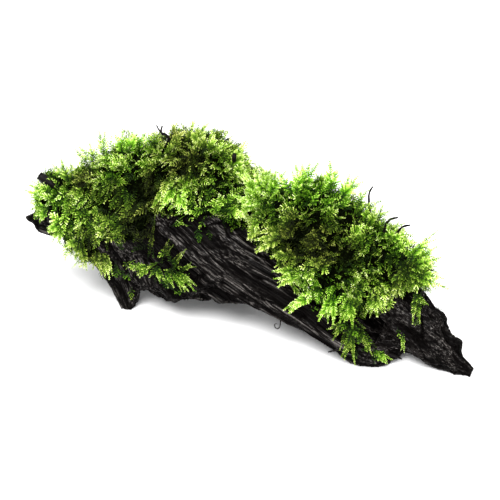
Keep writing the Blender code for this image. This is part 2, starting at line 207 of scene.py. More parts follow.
# Fronds that spread from one root: the root, the first and the last tip in millimetres, how many
# there are, their tone and their size
FANS = {
    "moss_left_patch": (
        # Along the top, from the left
        ((-84, -24, 59), (-92, -23, 67), (-87, -20, 69), 4, 0.7, 1.0),
        ((-76, -19, 66), (-83, -17, 73), (-79, -13, 75), 3, 0.6, 1.1),
        ((-71, -13, 71), (-76, -8, 80), (-72, -8, 80), 2, 0.5, 1.1),
        ((-63, -11, 73), (-67, -8, 81), (-58, -8, 83), 4, 0.7, 1.1),
        ((-48, -8, 78), (-54, -8, 84), (-47, -6, 85.5), 3, 0.5, 1.1),
        ((-40, -6, 79), (-41, -1, 86.5), (-37, -2, 86), 3, 0.4, 1.0),
        ((-31, -4, 79), (-33, 1, 86.5), (-25, 2, 87), 4, 0.6, 1.1),
        ((-20, -5, 78), (-14, 3, 88), (-13, 2, 87), 1, 0.6, 0.5),
        ((-18, -9, 77), (-21, -2, 86), (-12, -4, 84), 4, 0.6, 1.1),
        ((-8, -9, 76), (-6, -2, 85), (0, -4, 80), 4, 0.7, 1.1),
        ((-55, -10, 77), (-57, -9, 84), (-51, -9, 84), 2, 0.6, 1.1),
        ((-22, -8, 79), (-28, -6, 87), (-17, -7, 86), 3, 0.6, 1.1),
        ((-4, -9, 72), (-1, -10, 80), (3, -11, 76), 3, 0.7, 1.1),
        # Over the broken end
        ((-94, -23, 50), (-107, -26, 50), (-103, -25, 57), 5, 0.7, 1.0),
        ((-91, -25, 45), (-105, -26, 46), (-98, -29, 40), 5, 0.7, 0.8),
        ((-82, -27, 41), (-93, -29, 38), (-84, -33, 32), 8, 0.6, 0.9),
        # Along the lower edge
        ((-72, -28, 37), (-80, -34, 31), (-71, -33, 23), 9, 0.6, 0.9),
        ((-65, -26, 31), (-68, -31, 21), (-60, -28, 18), 6, 0.5, 0.8),
        ((-50, -24, 52), (-55, -28, 40), (-44, -28, 39), 5, 0.2, 0.7),
        ((-28, -23, 67), (-35, -29, 60), (-21, -28, 60), 8, 0.9, 1.0),
    ),
    "moss_right_patch": (
        # Along the top, from the left
        ((5, -14, 70), (6, -11, 77), (12, -12, 78), 3, 0.7, 1.0),
        ((1, -15, 65), (-2, -12, 75), (4, -13, 74), 4, 0.6, 1.1),
        ((28, -12, 74), (25, -9, 82), (35, -7, 84), 4, 0.8, 1.2),
        ((41, -9, 73), (39, -3, 84), (43, -4, 81), 2, 0.8, 1.3),
        ((47, -9, 71), (46, -3, 81), (52, -3, 79), 3, 0.6, 1.1),
        ((54, -9, 67), (54, -6, 75), (61, -5, 72), 3, 0.5, 1.0),
        ((64, -11, 62), (65, -8, 69), (71, -8, 67), 3, 0.5, 1.0),
        ((75, -14, 56), (77, -11, 62), (83, -12, 58), 3, 0.6, 1.0),
        ((82, -17, 48), (89, -9, 64), (98, -14, 42), 7, 0.6, 1.1),
        ((14, -13, 72), (13, -12, 79), (21, -12, 80), 3, 0.7, 1.1),
        ((22, -14, 73), (19, -14, 80), (28, -14, 81), 3, 0.8, 1.1),
        ((59, -12, 63), (58, -11, 70), (66, -12, 69), 3, 0.6, 1.0),
        ((70, -15, 58), (70, -14, 65), (78, -14, 62), 3, 0.6, 1.0),
        # Over the seam with the left patch, from the front to the back
        ((2, -15, 57), (-1, -19, 67), (7, -19, 67), 6, 0.6, 1.0),
        ((2, -7, 58), (-3, -9, 73), (7, -8, 70), 7, 0.7, 1.0),
        ((2, 1, 58), (-3, 2, 72), (6, 1, 70), 7, 0.6, 1.0),
        ((1, 8, 56), (-3, 9, 70), (6, 9, 67), 7, 0.5, 1.0),
        ((1, 14, 53), (-3, 16, 63), (6, 17, 60), 6, 0.5, 1.0),
        ((-3, 17, 53), (-6, 21, 59), (0, 21, 59), 4, 0.5, 0.9),
        # Along the lower edge, and over the cleft
        ((-1, -15, 67), (5, -19, 73), (5, -26, 60), 9, 0.7, 1.0),
        ((26, -27, 54), (13, -25, 53), (15, -28, 47), 4, 0.2, 1.0),
        ((38, -32, 42), (26, -36, 42), (30, -36, 36), 4, 0.7, 0.8),
        ((44, -30, 33), (31, -34, 25), (37, -35, 25), 4, 0.8, 0.9),
        ((51, -30, 33), (46, -34, 24), (55, -34, 23), 6, 0.7, 0.8),
        ((61, -29, 33), (57, -34, 25), (64, -33, 24), 5, 0.7, 0.8),
        ((71, -25, 38), (67, -31, 28), (76, -26, 31), 6, 0.6, 0.8),
    ),
    "moss_front_tuft": (
        # Along its lower edge, from the left
        ((-40, -26, 28), (-49, -28, 26), (-45, -29, 22), 5, 0.7, 0.65),
        ((-37, -26, 28), (-38, -31, 23), (-31, -31, 23), 4, 0.6, 0.65),
        ((-32, -27, 28), (-28, -31, 22), (-22, -31, 22), 4, 0.6, 0.65),
        ((-27, -27, 27), (-20, -31, 23), (-13, -32, 26), 5, 0.7, 0.65),
        # Upright strands, from the left
        ((-40, -26, 29), (-37, -26, 54), (-37, -26, 54), 1, 0.5, 0.45),
        ((-35, -26, 29), (-29, -30, 42), (-27, -30, 41), 2, 0.3, 0.5),
        ((-30, -27, 28), (-21, -30, 42), (-19, -30, 41), 2, 0.3, 0.5),
        ((-26, -27, 27), (-16, -31, 36), (-15, -31, 33), 2, 0.4, 0.5),
    ),
    "moss_low_tuft": (
        ((60, -28, 23), (53, -33, 20), (57, -35, 13), 4, 0.3, 0.65),
        ((61, -28, 20), (60, -34, 8), (66, -33, 6), 4, 0.5, 0.65),
        ((64, -27, 18), (69, -31, 16), (71, -29, 10), 4, 0.4, 0.6),
        ((69, -23, 8), (73, -26, 6), (77, -23, 4), 4, 1.0, 0.6),
    ),
    "moss_hanging_sprig": (
        ((86, -15, 39), (87, -20, 25), (88, -19, 24), 2, 0.7, 0.6),
        ((85, -16, 37), (90, -18, 33), (91, -17, 34), 2, 0.8, 0.6),
        ((80, -17, 17), (82, -20, 10), (84, -19, 9), 2, 0.8, 0.5),
    ),
}
FAN_SEED = 5
FAN_LIGHT = 0.8
FAN_CLEARING = 0.45  # how far the other fronds make room at each fan's tips
FAN_CLEARING_RADIUS = 4.5
FAN_SCATTER = 0.9 * MM
FAN_FACING = (0.35, -0.85, 0.4)
FAN_DEPTH = 5 * MM  # how deep under the surface of a patch its listed fronds start
FAN_SLIDES = [0.5 * MM * n for n in range(17)]  # how far back a fan may slide
FAN_HOLD = 2 * MM  # a fan slides until its root is as deep as this in its patch

# Where the moss is thin: middle and radius in millimetres, and the share of the fronds that grow
THIN = (
    ((-96, -23, 58), 8, 0.0),
    ((-42, -27, 46), 12, 0.35),
    ((-102, -26, 45), 7, 0.3),
    ((93, -10, 52), 11, 0.15),
    ((36, -8, 80), 7, 0.5),
    ((46, -5, 78), 7, 0.5),
    ((-76, -12, 74), 7, 0.5),
)

# Where short fronds creep over the bare wood: the middle and radius in millimetres, and how thickly
CREEPING = (
    ((-98, -23, 45), 12, 1.0),
    ((-83, -27, 34), 10, 1.0),
    ((-64, -26, 27), 6, 0.3),
    ((18, -27, 25), 6, 0.08),
    ((34, -25, 38), 12, 0.5),
    ((46, -31, 25), 9, 0.8),
    ((70, -24, 8), 6, 0.6),
    ((81, -17, 13), 4, 0.5),
)
CREEP_EDGE = 3 * MM  # how far fronds straggle over the wood round each patch
CREEP_EDGE_SHARE = 0.8
CREEP_ROOM = 0.5 * MM  # how deep the creeping fronds are rooted at most

# The layers of fronds: how many tips end on a square metre, how long a frond is and how deep its root,
# how much it hangs and swirls, how far the tips between tufts are sunk and those in a tuft are proud,
# how much taller the tallest stand, how lit their colour is painted, below 1 being painted shade, and the
# seed
Layer = namedtuple("Layer", "Density Length Depth Hang Swirl Sunk Proud Tall Light Seed")
LAYERS = {
    "young": Layer(130000.0, 10 * MM, 10 * MM, 0.45, 1.0, 4 * MM, -0.5 * MM, 4 * MM, 1.0, 11),
    "old": Layer(80000.0, 9 * MM, 6 * MM, 0.6, 1.0, 6 * MM, -1.5 * MM, 0.0, 0.5, 47),
}
SMALL = Layer(45000.0, 6.5 * MM, 2 * MM, 0.6, 1.0, 1.5 * MM, 0.5 * MM, 1.5 * MM, 0.8, 23)
STRAGGLERS = Layer(80000.0, 6 * MM, 0.5 * MM, 0.9, 0.8, 0.0, 1.5 * MM, 2 * MM, 0.75, 83)

# How far apart a frond's branchlets are and how long, the radius of its stem, and its bare share
Shape = namedtuple("Shape", "Spacing Length Stem Bare")
SPRIG = Shape(0.85 * MM, 2.8 * MM, 0.2 * MM, 0.1)
FROND = Shape(1.15 * MM, 2.5 * MM, 0.14 * MM, 0.18)

CEILING = CAD_BOX[1][2] + 1 * MM  # no frond of a layer ends above this
FLOOR_GAP = 0.2 * MM  # no frond is lower than this
TUFT_SIZE = 7 * MM
TONE_SIZE = 6 * MM
WIND_SIZE = 13 * MM  # over which the fronds' drift turns
TANGLE_DEPTH = 5.5 * MM
FROND_SEED = 31
MAP_STEP = 0.004  # how far apart the corners of a leaf are on the map

# Dead stems and slivers of wood: the places they pass through and the radius at each end, in millimetres
TWIGS = (
    (((-39, -4, 72), (-41, -6, 83), (-44, -7, 85), (-44, -6, 88)), 0.8, 0.35),
    (((-43, -7, 84), (-46, -6, 86), (-47, -6, 88)), 0.5, 0.25),
    (((-10, -2, 70), (-7, -7, 81)), 1.0, 1.0),
    (((58, -3, 61), (57, -4, 72), (58, -2, 76)), 0.6, 0.35),
    (((66, -10, 55), (69, -11, 65), (73, -9, 67)), 0.7, 0.4),
    (((72, -11, 52), (75, -12, 63), (79, -10, 65)), 0.7, 0.4),
    (((-94, -15, 50), (-99, -17, 54), (-104, -18, 57)), 1.6, 2.1),
    (((73, -20, 6), (77, -18, 5), (80, -16, 3)), 1.0, 0.3),
    (((59, -28, 10), (55, -32, 9), (52, -33, 8)), 0.6, 0.3),
    # A loop of root thread under the front branch
    ((
        (26, -27, 15), (26.6, -28.8, 13), (26, -29.5, 11.8),
        (24.4, -29.3, 12), (24, -28.8, 13.2), (25, -28.4, 13.6),
    ), 0.3, 0.2),
)
TWIG_SIDES = 7
TWIG_STEPS = 4
TWIG_LEVEL = (0.3, 0.2, 0.93)  # no twig runs this way


class Socket:
    """One output of a node. Arithmetic on it adds the Math or Vector Math nodes."""

    def __init__(self, tree, output):
        self.tree = tree
        self.output = output

    def __add__(self, other):
        return self.tree.maths("ADD", self, other)

    __radd__ = __add__

    def __sub__(self, other):
        return self.tree.maths("SUBTRACT", self, other)

    def __rsub__(self, other):
        return self.tree.maths("SUBTRACT", other, self)

    def __mul__(self, other):
        return self.tree.maths("MULTIPLY", self, other)

    __rmul__ = __mul__

    def __pow__(self, other):
        return self.tree.maths("POWER", self, other)


def is_vector(value):
    return isinstance(value, tuple) or isinstance(value, Socket) and value.output.type in ("VECTOR", "RGBA")


class Tree:
    """A node tree being built."""

    def __init__(self, tree):
        self.tree = tree

    def node(self, kind, settings=None, values=None):
        """A new node's outputs by name. Settings come first, then the values or links of its sockets."""
        made = self.tree.nodes.new(kind)
        for name, value in (settings or {}).items():
            if name == "stops":
                set_stops(made.color_ramp, value)
            else:
                setattr(made, name, value)
        for name, value in (values or {}).items():
            self.feed(next(s for s in made.inputs if s.enabled and name in (s.name, s.identifier)), value)
        return {s.name: Socket(self, s) for s in reversed(made.outputs) if s.enabled}

    def feed(self, socket, value):
        """Link an output to the socket, or a list of outputs to one that joins them, or set its value."""
        if isinstance(value, Socket):
            self.tree.links.new(value.output, socket)
        elif socket.is_multi_input:
            for item in reversed(value):
                self.tree.links.new(item.output, socket)
        else:
            socket.default_value = value

    def maths(self, operation, *values):
        """The result of a Math node, or of a Vector Math node where a value is a vector."""
        vectors = [is_vector(value) for value in values]
        node = self.tree.nodes.new("ShaderNodeVectorMath" if any(vectors) else "ShaderNodeMath")
        scales = operation == "MULTIPLY" and any(vectors) and not all(vectors)
        node.operation = "SCALE" if scales else operation
        sockets = list(node.inputs)
        if scales:
            values = sorted(values, key=is_vector, reverse=True)
            sockets = [node.inputs["Vector"], node.inputs["Scale"]]
        for socket, value in zip(sockets, values):
            self.feed(socket, value)
        return Socket(self, next(s for s in node.outputs if s.enabled))

    def smooth(self, value, low, high, at_low=0.0, at_high=1.0):
        """Runs smoothly from at_low to at_high as the value goes from low to high."""
        return self.node(
            "ShaderNodeMapRange",
            {"interpolation_type": "SMOOTHSTEP"},
            {"Value": value, "From Min": low, "From Max": high, "To Min": at_low, "To Max": at_high},
        )["Result"]

    def attribute(self, name):
        """A named attribute's outputs: Vector, and Fac for one that is a number."""
        if self.tree.type == "SHADER":
            return self.node("ShaderNodeAttribute", {"attribute_name": name})
        return {"Vector": self.named(name), "Fac": self.named(name, "FLOAT")}

    def noise(self, vector, scale, detail=2.0, roughness=0.5, output="Fac"):
        return self.node(
            "ShaderNodeTexNoise",
            values={"Vector": vector, "Scale": scale, "Detail": detail, "Roughness": roughness},
        )[output]

    def blend(self, factor, low, high):
        return self.node(
            "ShaderNodeMix", {"data_type": "RGBA"}, {"Factor": factor, "A": low, "B": high}
        )["Result"]


class MaterialTree(Tree):
    """The node tree of a new material."""

    def __init__(self, name):
        self.material = bpy.data.materials.new(name)
        self.material.use_nodes = True
        super().__init__(self.material.node_tree)

    def place(self):
        return self.node("ShaderNodeTexCoord")["Object"]

    def bump(self, height, strength, distance):
        return self.node(
            "ShaderNodeBump", values={"Strength": strength, "Distance": distance, "Height": height}
        )["Normal"]

    def shaded(self, values):
        """The finished material, with these values and links on its shader."""
        for name, value in values.items():
            self.feed(self.tree.nodes["Principled BSDF"].inputs[name], value)
        return self.material


class GrowthTree(Tree):
    """A geometry tree with named inputs."""

    def __init__(self, name):
        super().__init__(bpy.data.node_groups.new(name, "GeometryNodeTree"))
        self.tree.interface.new_socket("Geometry", in_out="OUTPUT", socket_type="NodeSocketGeometry")
        self.given = self.tree.nodes.new("NodeGroupInput")

    def takes(self, name, kind="Float"):
        self.tree.interface.new_socket(name, in_out="INPUT", socket_type="NodeSocket" + kind)
        return Socket(self, self.given.outputs[name])

    def gives(self, geometry):
        self.feed(self.tree.nodes.new("NodeGroupOutput").inputs["Geometry"], geometry)

    def place(self):
        return self.node("GeometryNodeInputPosition")["Position"]

    def normal(self):
        return self.node("GeometryNodeInputNormal")["Normal"]

    def named(self, name, kind="FLOAT_VECTOR"):
        return self.node("GeometryNodeInputNamedAttribute", {"data_type": kind}, {"Name": name})["Attribute"]

    def store(self, geometry, name, value):
        return self.node(
            "GeometryNodeStoreNamedAttribute",
            {"data_type": "FLOAT_VECTOR" if is_vector(value) else "FLOAT"},
            {"Geometry": geometry, "Name": name, "Value": value},
        )["Geometry"]

    def random(self, low, high, seed):
        """A random number or vector for each point."""
        kind = "FLOAT_VECTOR" if isinstance(low, tuple) else "FLOAT"
        return self.node(
            "FunctionNodeRandomValue", {"data_type": kind}, {"Min": low, "Max": high, "Seed": seed}
        )["Value"]

    def moved(self, geometry, **values):
        return self.node("GeometryNodeSetPosition", values={"Geometry": geometry, **values})["Geometry"]

    def realized(self, geometry):
        return self.node("GeometryNodeRealizeInstances", values={"Geometry": geometry})["Geometry"]


def set_stops(ramp, stops):
    while len(ramp.elements) > 1:
        ramp.elements.remove(ramp.elements[-1])
    for n, (place, colour) in enumerate(stops):
        stop = ramp.elements[0] if n == 0 else ramp.elements.new(place)
        stop.position = place
        stop.color = (*colour, 1)


def new_object(name, mesh):
    obj = bpy.data.objects.new(name, mesh)
    bpy.context.scene.collection.objects.link(obj)
    return obj


def mesh_of(name, bm):
    """The finished mesh of what was being built."""
    mesh = bpy.data.meshes.new(name)
    bm.to_mesh(mesh)
    bm.free()
    return mesh


def make_plain(obj):
    """Turn the object into the plain mesh that its modifiers make."""
    bpy.context.view_layer.update()
    graph = bpy.context.evaluated_depsgraph_get()
    mesh = bpy.data.meshes.new_from_object(
        obj.evaluated_get(graph), preserve_all_data_layers=True, depsgraph=graph
    )
    obj.modifiers.clear()
    obj.data = mesh


def modify(obj, kind, **settings):
    """Apply one modifier."""
    modifier = obj.modifiers.new(kind.title(), kind)
    for name, value in settings.items():
        setattr(modifier, name, value)
    make_plain(obj)


def add_growth(obj, tree, sizes):
    """Put a geometry tree on the object and set its named inputs."""
    modifier = obj.modifiers.new(tree.tree.name, "NODES")
    modifier.node_group = tree.tree
    for item in tree.tree.interface.items_tree:
        if item.in_out == "INPUT" and item.name in sizes:
            modifier[item.identifier] = sizes[item.name]


def solids(nodes):
    """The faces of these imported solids, for a new shape."""
    bm = bmesh.new()
    for node in nodes:
        bm.from_mesh(NODES[node].data)
    return bm


def copy_of_nodes(name, nodes):
    """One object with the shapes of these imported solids, their doubled corners merged."""
    bm = solids(nodes)
    bmesh.ops.remove_doubles(bm, verts=bm.verts, dist=MERGE)
    return new_object(name, mesh_of(name, bm))


def solid_tree(nodes):
    """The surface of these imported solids, for measuring the distance to it."""
    bm = solids(nodes)
    tree = BVHTree.FromBMesh(bm)
    bm.free()
    return tree


def vectors(items, slot):
    values = np.zeros(3 * len(items), np.float32)
    items.foreach_get(slot, values)
    return values.reshape(-1, 3)


def spots_of(mesh):
    return vectors(mesh.vertices, "co")


def normals_of(mesh):
    return vectors(mesh.vertex_normals, "vector")


def move_to(mesh, spots):
    mesh.vertices.foreach_set("co", np.asarray(spots, np.float32).ravel())
    mesh.update()


def write(mesh, name, values):
    """Keep one number or vector for each vertex as an attribute."""
    kind, slot = ("FLOAT_VECTOR", "vector") if np.ndim(values) == 2 else ("FLOAT", "value")
    layer = mesh.attributes.new(name, kind, "POINT")
    layer.data.foreach_set(slot, np.asarray(values, np.float32).ravel())


def distances(spots, tree):
    return np.array([tree.find_nearest(Vector(spot))[3] for spot in spots])


def turned_to(spots, normals, tree, reach):
    """1 where a spot's normal points at a surface that is nearer than reach, down to 0 where it doesn't."""
    turned = np.zeros(len(spots))
    for n, (spot, normal) in enumerate(zip(spots, normals)):
        place, _, _, gap = tree.find_nearest(Vector(spot))
        if gap < reach:
            turned[n] = (place - Vector(spot)).normalized().dot(Vector(normal))
    return smoothstep(turned, 0.0, 0.5)


def depths(spots, tree):
    """How deep each spot is inside a closed surface, negative outside it."""
    found = (tree.find_nearest(Vector(spot)) for spot in spots)
    return np.array([(place - Vector(spot)).dot(normal) for spot, (place, normal, *_) in zip(spots, found)])


def smoothstep(values, low, high):
    t = np.clip((values - low) / (high - low), 0, 1)
    return t * t * (3 - 2 * t)


def smooth_line(points, steps):
    """Close points on a smooth curve through these points, with this many steps between two of them."""
    rows = np.array([points[0], *points, points[-1]], float)
    line = []
    for a, b, c, d in zip(rows, rows[1:], rows[2:], rows[3:]):
        for t in np.arange(steps) / steps:
            bend = (2 * a - 5 * b + 4 * c - d) + t * (3 * (b - c) + d - a)
            line.append(b + 0.5 * t * ((c - a) + t * bend))
    return np.array(line + [rows[-1]])


def crosswise(forward, level):
    """Two directions across each forward one, at right angles to each other."""
    side = np.cross(forward, level)
    side /= np.linalg.norm(side, axis=-1, keepdims=True)
    return side, np.cross(side, forward)


# Materials


def wood_material():
    """Near-black wet wood: crests paler with wear, furrows dark with painted shade, fine broken grain lines
    with painted highlights, and pale specks at the prong, partly painted glints.
    """
    tree = MaterialTree("wet_driftwood")
    lines = over_limbs(tree, lambda fibre: tree.noise(fibre * GRAIN_LINES, 1.0, 2.0, 0.55))
    specks = over_limbs(tree, lambda fibre: tree.noise(fibre * GRAIN_SPECKS, 1.0, 2.0, 0.7))
    place = tree.place()
    stains = tree.noise(place, STAIN_SCALE)
    line = tree.smooth(lines, 0.50, 0.62)
    speck = tree.smooth(specks, 0.48, 0.66)
    # Lighter on the crests with wear, and darker in the furrows with painted shade
    wear_and_furrow_shade = tree.smooth(tree.attribute("crest")["Fac"], 0.42, 1.05)
    on_prong = tree.smooth(tree.node("ShaderNodeSeparateXYZ", values={"Vector": place})["X"], *PRONG_SPAN)
    fine = line * (0.5 + 0.5 * speck)
    prong_specks_and_glints = speck * (0.25 + 0.75 * line)
    # Pale grain lines and prong specks, partly painted highlights of the wet wood
    pale = tree.maths("MINIMUM", (0.04 + 0.96 * wear_and_furrow_shade) * (fine + on_prong * (prong_specks_and_glints - fine)), 1.0)
    ground = tree.blend(wear_and_furrow_shade * 0.5, tree.blend(stains, FURROW, STAINED_FURROW), CREST)
    return tree.shaded({
        "Base Color": tree.blend(pale, ground, PALE_GRAIN_AND_HIGHLIGHT),
        "Roughness": tree.smooth(stains + 0.25 * speck, 0.3, 0.9, 0.35, 0.6),
        "Specular IOR Level": 0.01,
        "Coat Weight": wear_and_furrow_shade * speck * 0.3,
        "Coat Roughness": 0.3,
        "Normal": tree.bump(lines * 0.8 + specks * 0.45, 0.8, 0.35 * MM),
    })


def frond_material():
    """Moss leaves: dark with painted shade at the frond's root, between tufts and in the dim zones, bright at
    the tip with fresh growth and a painted highlight, olive where the frond is old.
    """
    tree = MaterialTree("moss_fronds")
    growth = tree.attribute("growth")["Fac"]
    young, old = (
        tree.node("ShaderNodeValToRGB", {"stops": stops}, {"Fac": growth})["Color"] for stops in (YOUNG, OLD)
    )
    colour = tree.blend(tree.attribute("tone")["Fac"], old, young)
    return tree.shaded({"Base Color": colour, "Roughness": 0.5, "Specular IOR Level": 0.05})


def tangle_shade_material():
    """The tangle of dead stems under the fronds, near-black with painted shade."""
    tree = MaterialTree("old_moss")
    place = tree.place()
    stems = tree.noise(place, TANGLE_SCALE, 4.0, 0.7)
    dark = tree.blend(tree.noise(place, TANGLE_PATCHES), TANGLE_SHADE_GREEN, TANGLE_SHADE_BROWN)
    return tree.shaded({
        "Base Color": tree.blend(tree.smooth(stems, 0.5, 0.75), dark, TANGLE_STEMS),
        "Roughness": 0.9,
        "Specular IOR Level": 0.0,
        "Normal": tree.bump(stems, 1.0, 0.8 * MM),
    })


def twig_material():
    """Dead bark, blackened by water."""
    tree = MaterialTree("dead_stem")
    bark = tree.noise(tree.place(), BARK_SCALE, 3.0)
    return tree.shaded({
        "Base Color": tree.blend(bark, BARK_DARK, BARK_PALE),
        "Roughness": 0.5,
        "Specular IOR Level": 0.08,
        "Normal": tree.bump(bark, 0.8, 0.3 * MM),
    })


# The wood


def over_limbs(tree, pattern):
    """A pattern along the nearest limb's fibres, which runs into that of the next limb where the two meet."""
    share = tree.attribute("limb_share")["Fac"]
    near, far = (pattern(tree.attribute(name)["Vector"]) for name in ("fibre", "next_fibre"))
    return far + (near - far) * share


def keep_fibres(mesh):
    """Keep each spot's place along and across its limb, in millimetres, as if the limb were straight.

    The same is kept for the second nearest limb, with the share that the nearest one has.
    """
    spots = spots_of(mesh) / MM
    gaps, places = [], []
    for number, line in enumerate(LIMB_LINES):
        middles = smooth_line(line, LIMB_STEPS)
        along = np.concatenate([[0], np.cumsum(np.linalg.norm(np.diff(middles, axis=0), axis=1))])
        forward = np.gradient(middles, axis=0)
        forward /= np.linalg.norm(forward, axis=1)[:, None]
        every_gap = np.linalg.norm(spots[:, None, :] - middles[None], axis=2)
        k = every_gap.argmin(1)
        off = spots - middles[k]
        place = [np.einsum("ij,ij->i", off, axis[k]) for axis in (forward, *crosswise(forward, LIMB_LEVEL))]
        place[0] += along[k] + LIMB_APART * number
        gaps.append(every_gap.min(1))
        places.append(np.stack(place, axis=1))
    nearest, second = np.argsort(gaps, axis=0)[:2]
    every = np.arange(len(spots))
    gaps, places = np.stack(gaps), np.stack(places)
    further = gaps[second, every] - gaps[nearest, every]
    write(mesh, "fibre", places[nearest, every])
    write(mesh, "next_fibre", places[second, every])
    write(mesh, "limb_share", 0.5 + 0.5 * smoothstep(further, 0, LIMB_BLEND))


def ridges(tree, scale, detail):
    """0 on the lines where a pattern on the fibres turns, and more away from them."""
    turns = over_limbs(tree, lambda fibre: tree.noise(fibre * scale, 1.0, detail))
    return tree.maths("ABSOLUTE", turns - 0.5)


def grain_tree():
    """Raises grain and cracks on the wood."""
    tree = GrowthTree("raised_grain")
    geometry = tree.takes("Geometry", "Geometry")
    height = tree.takes("Height")
    broad_crest = 1 - ridges(tree, BROAD_RIDGES, 1.0) * 5
    fine_crest = 1 - ridges(tree, FINE_RIDGES, 1.0) * 5
    crack = tree.smooth(ridges(tree, CRACKS, 0.0), 0.0, 0.02)
    lift = height * (1.6 * (broad_crest - 0.75) + 0.6 * (fine_crest - 0.6) - 1.2 * (1 - crack))
    geometry = tree.store(geometry, "crest", (0.5 * broad_crest + 0.5 * fine_crest) * crack)
    tree.gives(tree.moved(geometry, Offset=tree.normal() * lift))
    return tree


def driftwood():
    """The whole wood as one body, with its grain raised, thinned where the moss hides it."""
    wood = copy_of_nodes("driftwood", WOOD_NODES)
    modify(wood, "DISPLACE", strength=SPLIT_GAP, mid_level=0)
    modify(wood, "REMESH", voxel_size=WOOD_VOXEL)
    modify(wood, "SMOOTH", iterations=WOOD_SMOOTHING)
    modify(wood, "DISPLACE", strength=-0.6 * SPLIT_GAP, mid_level=0)
    keep_fibres(wood.data)
    hidden = turned_to(spots_of(wood.data), normals_of(wood.data), solid_tree(PATCHES), HIDING_GAP) > 0.5
    buried = wood.vertex_groups.new(name="buried")
    buried.add(np.flatnonzero(hidden).tolist(), 1.0, "REPLACE")
    add_growth(wood, grain_tree(), {"Height": GRAIN_HEIGHT})
    make_plain(wood)
    thinned = 1 - HIDDEN_THINNING * hidden.mean()
    modify(wood, "DECIMATE", ratio=thinned, vertex_group="buried", vertex_group_factor=1000.0)
    wood.data.calc_loop_triangles()
    modify(wood, "DECIMATE", ratio=min(1, WOOD_TRIANGLES / len(wood.data.loop_triangles)))
    spots = spots_of(wood.data)
    spots[:, 2] = np.where(spots[:, 2] < FOOT_FLAT, 0, spots[:, 2])
    move_to(wood.data, spots)
    wood.data.shade_smooth()
    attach(wood, "root")
    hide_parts(*WOOD_NODES)
    wood.data.materials.append(wood_material())


def tube(bm, places, thick, thin):
    """A round bent stem, closed at both ends."""
    middles = smooth_line([np.array(place) * MM for place in places], TWIG_STEPS)
    rings = []
    for n, middle in enumerate(middles):
        forward = middles[min(n + 1, len(middles) - 1)] - middles[max(n - 1, 0)]
        forward /= np.linalg.norm(forward)
        side, upright = crosswise(forward, TWIG_LEVEL)
        radius = (thick + (thin - thick) * n / (len(middles) - 1)) * MM * (1 + 0.15 * math.sin(2.3 * n))
        angles = [math.tau * k / TWIG_SIDES for k in range(TWIG_SIDES)]
        ring = [middle + (side * math.cos(angle) + upright * math.sin(angle)) * radius for angle in angles]
        rings.append([bm.verts.new(corner) for corner in ring])
    for a, b in zip(rings, rings[1:]):
        for k in range(TWIG_SIDES):
            bm.faces.new((a[k], a[k - 1], b[k - 1], b[k]))
    for ring in (rings[0], rings[-1]):
        bm.faces.new(ring)


def dead_stems():
    """The twigs and slivers that stick out of the moss and the wood."""
    bm = bmesh.new()
    for twig in TWIGS:
        tube(bm, *twig)
    bmesh.ops.recalc_face_normals(bm, faces=bm.faces)
    stems = new_object("dead_stems", mesh_of("dead_stems", bm))
    stems.data.shade_smooth()
    stems.data.materials.append(twig_material())
    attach(stems, "root")


# The moss


def leaf_corner(bm, out, x, y, z):
    """A corner of a leaf, which keeps how far out on its branchlet it is."""
    vert = bm.verts.new((x, y, z))
    vert[out] = x
    return vert


def branchlets():
    """Side shoots one unit long, of a few leaves each, in a collection that isn't rendered."""
    shelf = bpy.data.collections.new("branchlets")
    for name, pairs, half_width in BRANCHLETS:
        bm = bmesh.new()
        out = bm.verts.layers.float.new("out")
        step = 1 / (pairs + 0.5)
        for n in range(pairs):
            x = n * step
            width = half_width * (1 - 0.4 * n / pairs)
            for side in (-1, 1):
                leaf = (
                    leaf_corner(bm, out, x, 0, 0),
                    leaf_corner(bm, out, x + 1.3 * step, 0, -0.02),
                    leaf_corner(bm, out, x + 1.25 * step, side * width, 0.4 * width),
                )
                bm.faces.new(leaf[::side])
        x = pairs * step
        bm.faces.new((
            leaf_corner(bm, out, x, -0.5 * half_width, 0),
            leaf_corner(bm, out, 1, 0, 0.04),
            leaf_corner(bm, out, x, 0.5 * half_width, 0),
        ))
        shelf.objects.link(bpy.data.objects.new(name, mesh_of(name, bm)))
    return shelf


def scattered(tree, seed):
    """A random direction and length for each point."""
    return tree.random((-1.0, -1.0, -1.0), (1.0, 1.0, 1.0), seed)


def clumped(tree, place, size, number):
    """1 in clumps of about this size and 0 between them. Each number has other clumps."""
    return tree.smooth(tree.noise(place + (0.3 * number, 0.0, 0.0), 1 / size, 1.0), 0.32, 0.68)


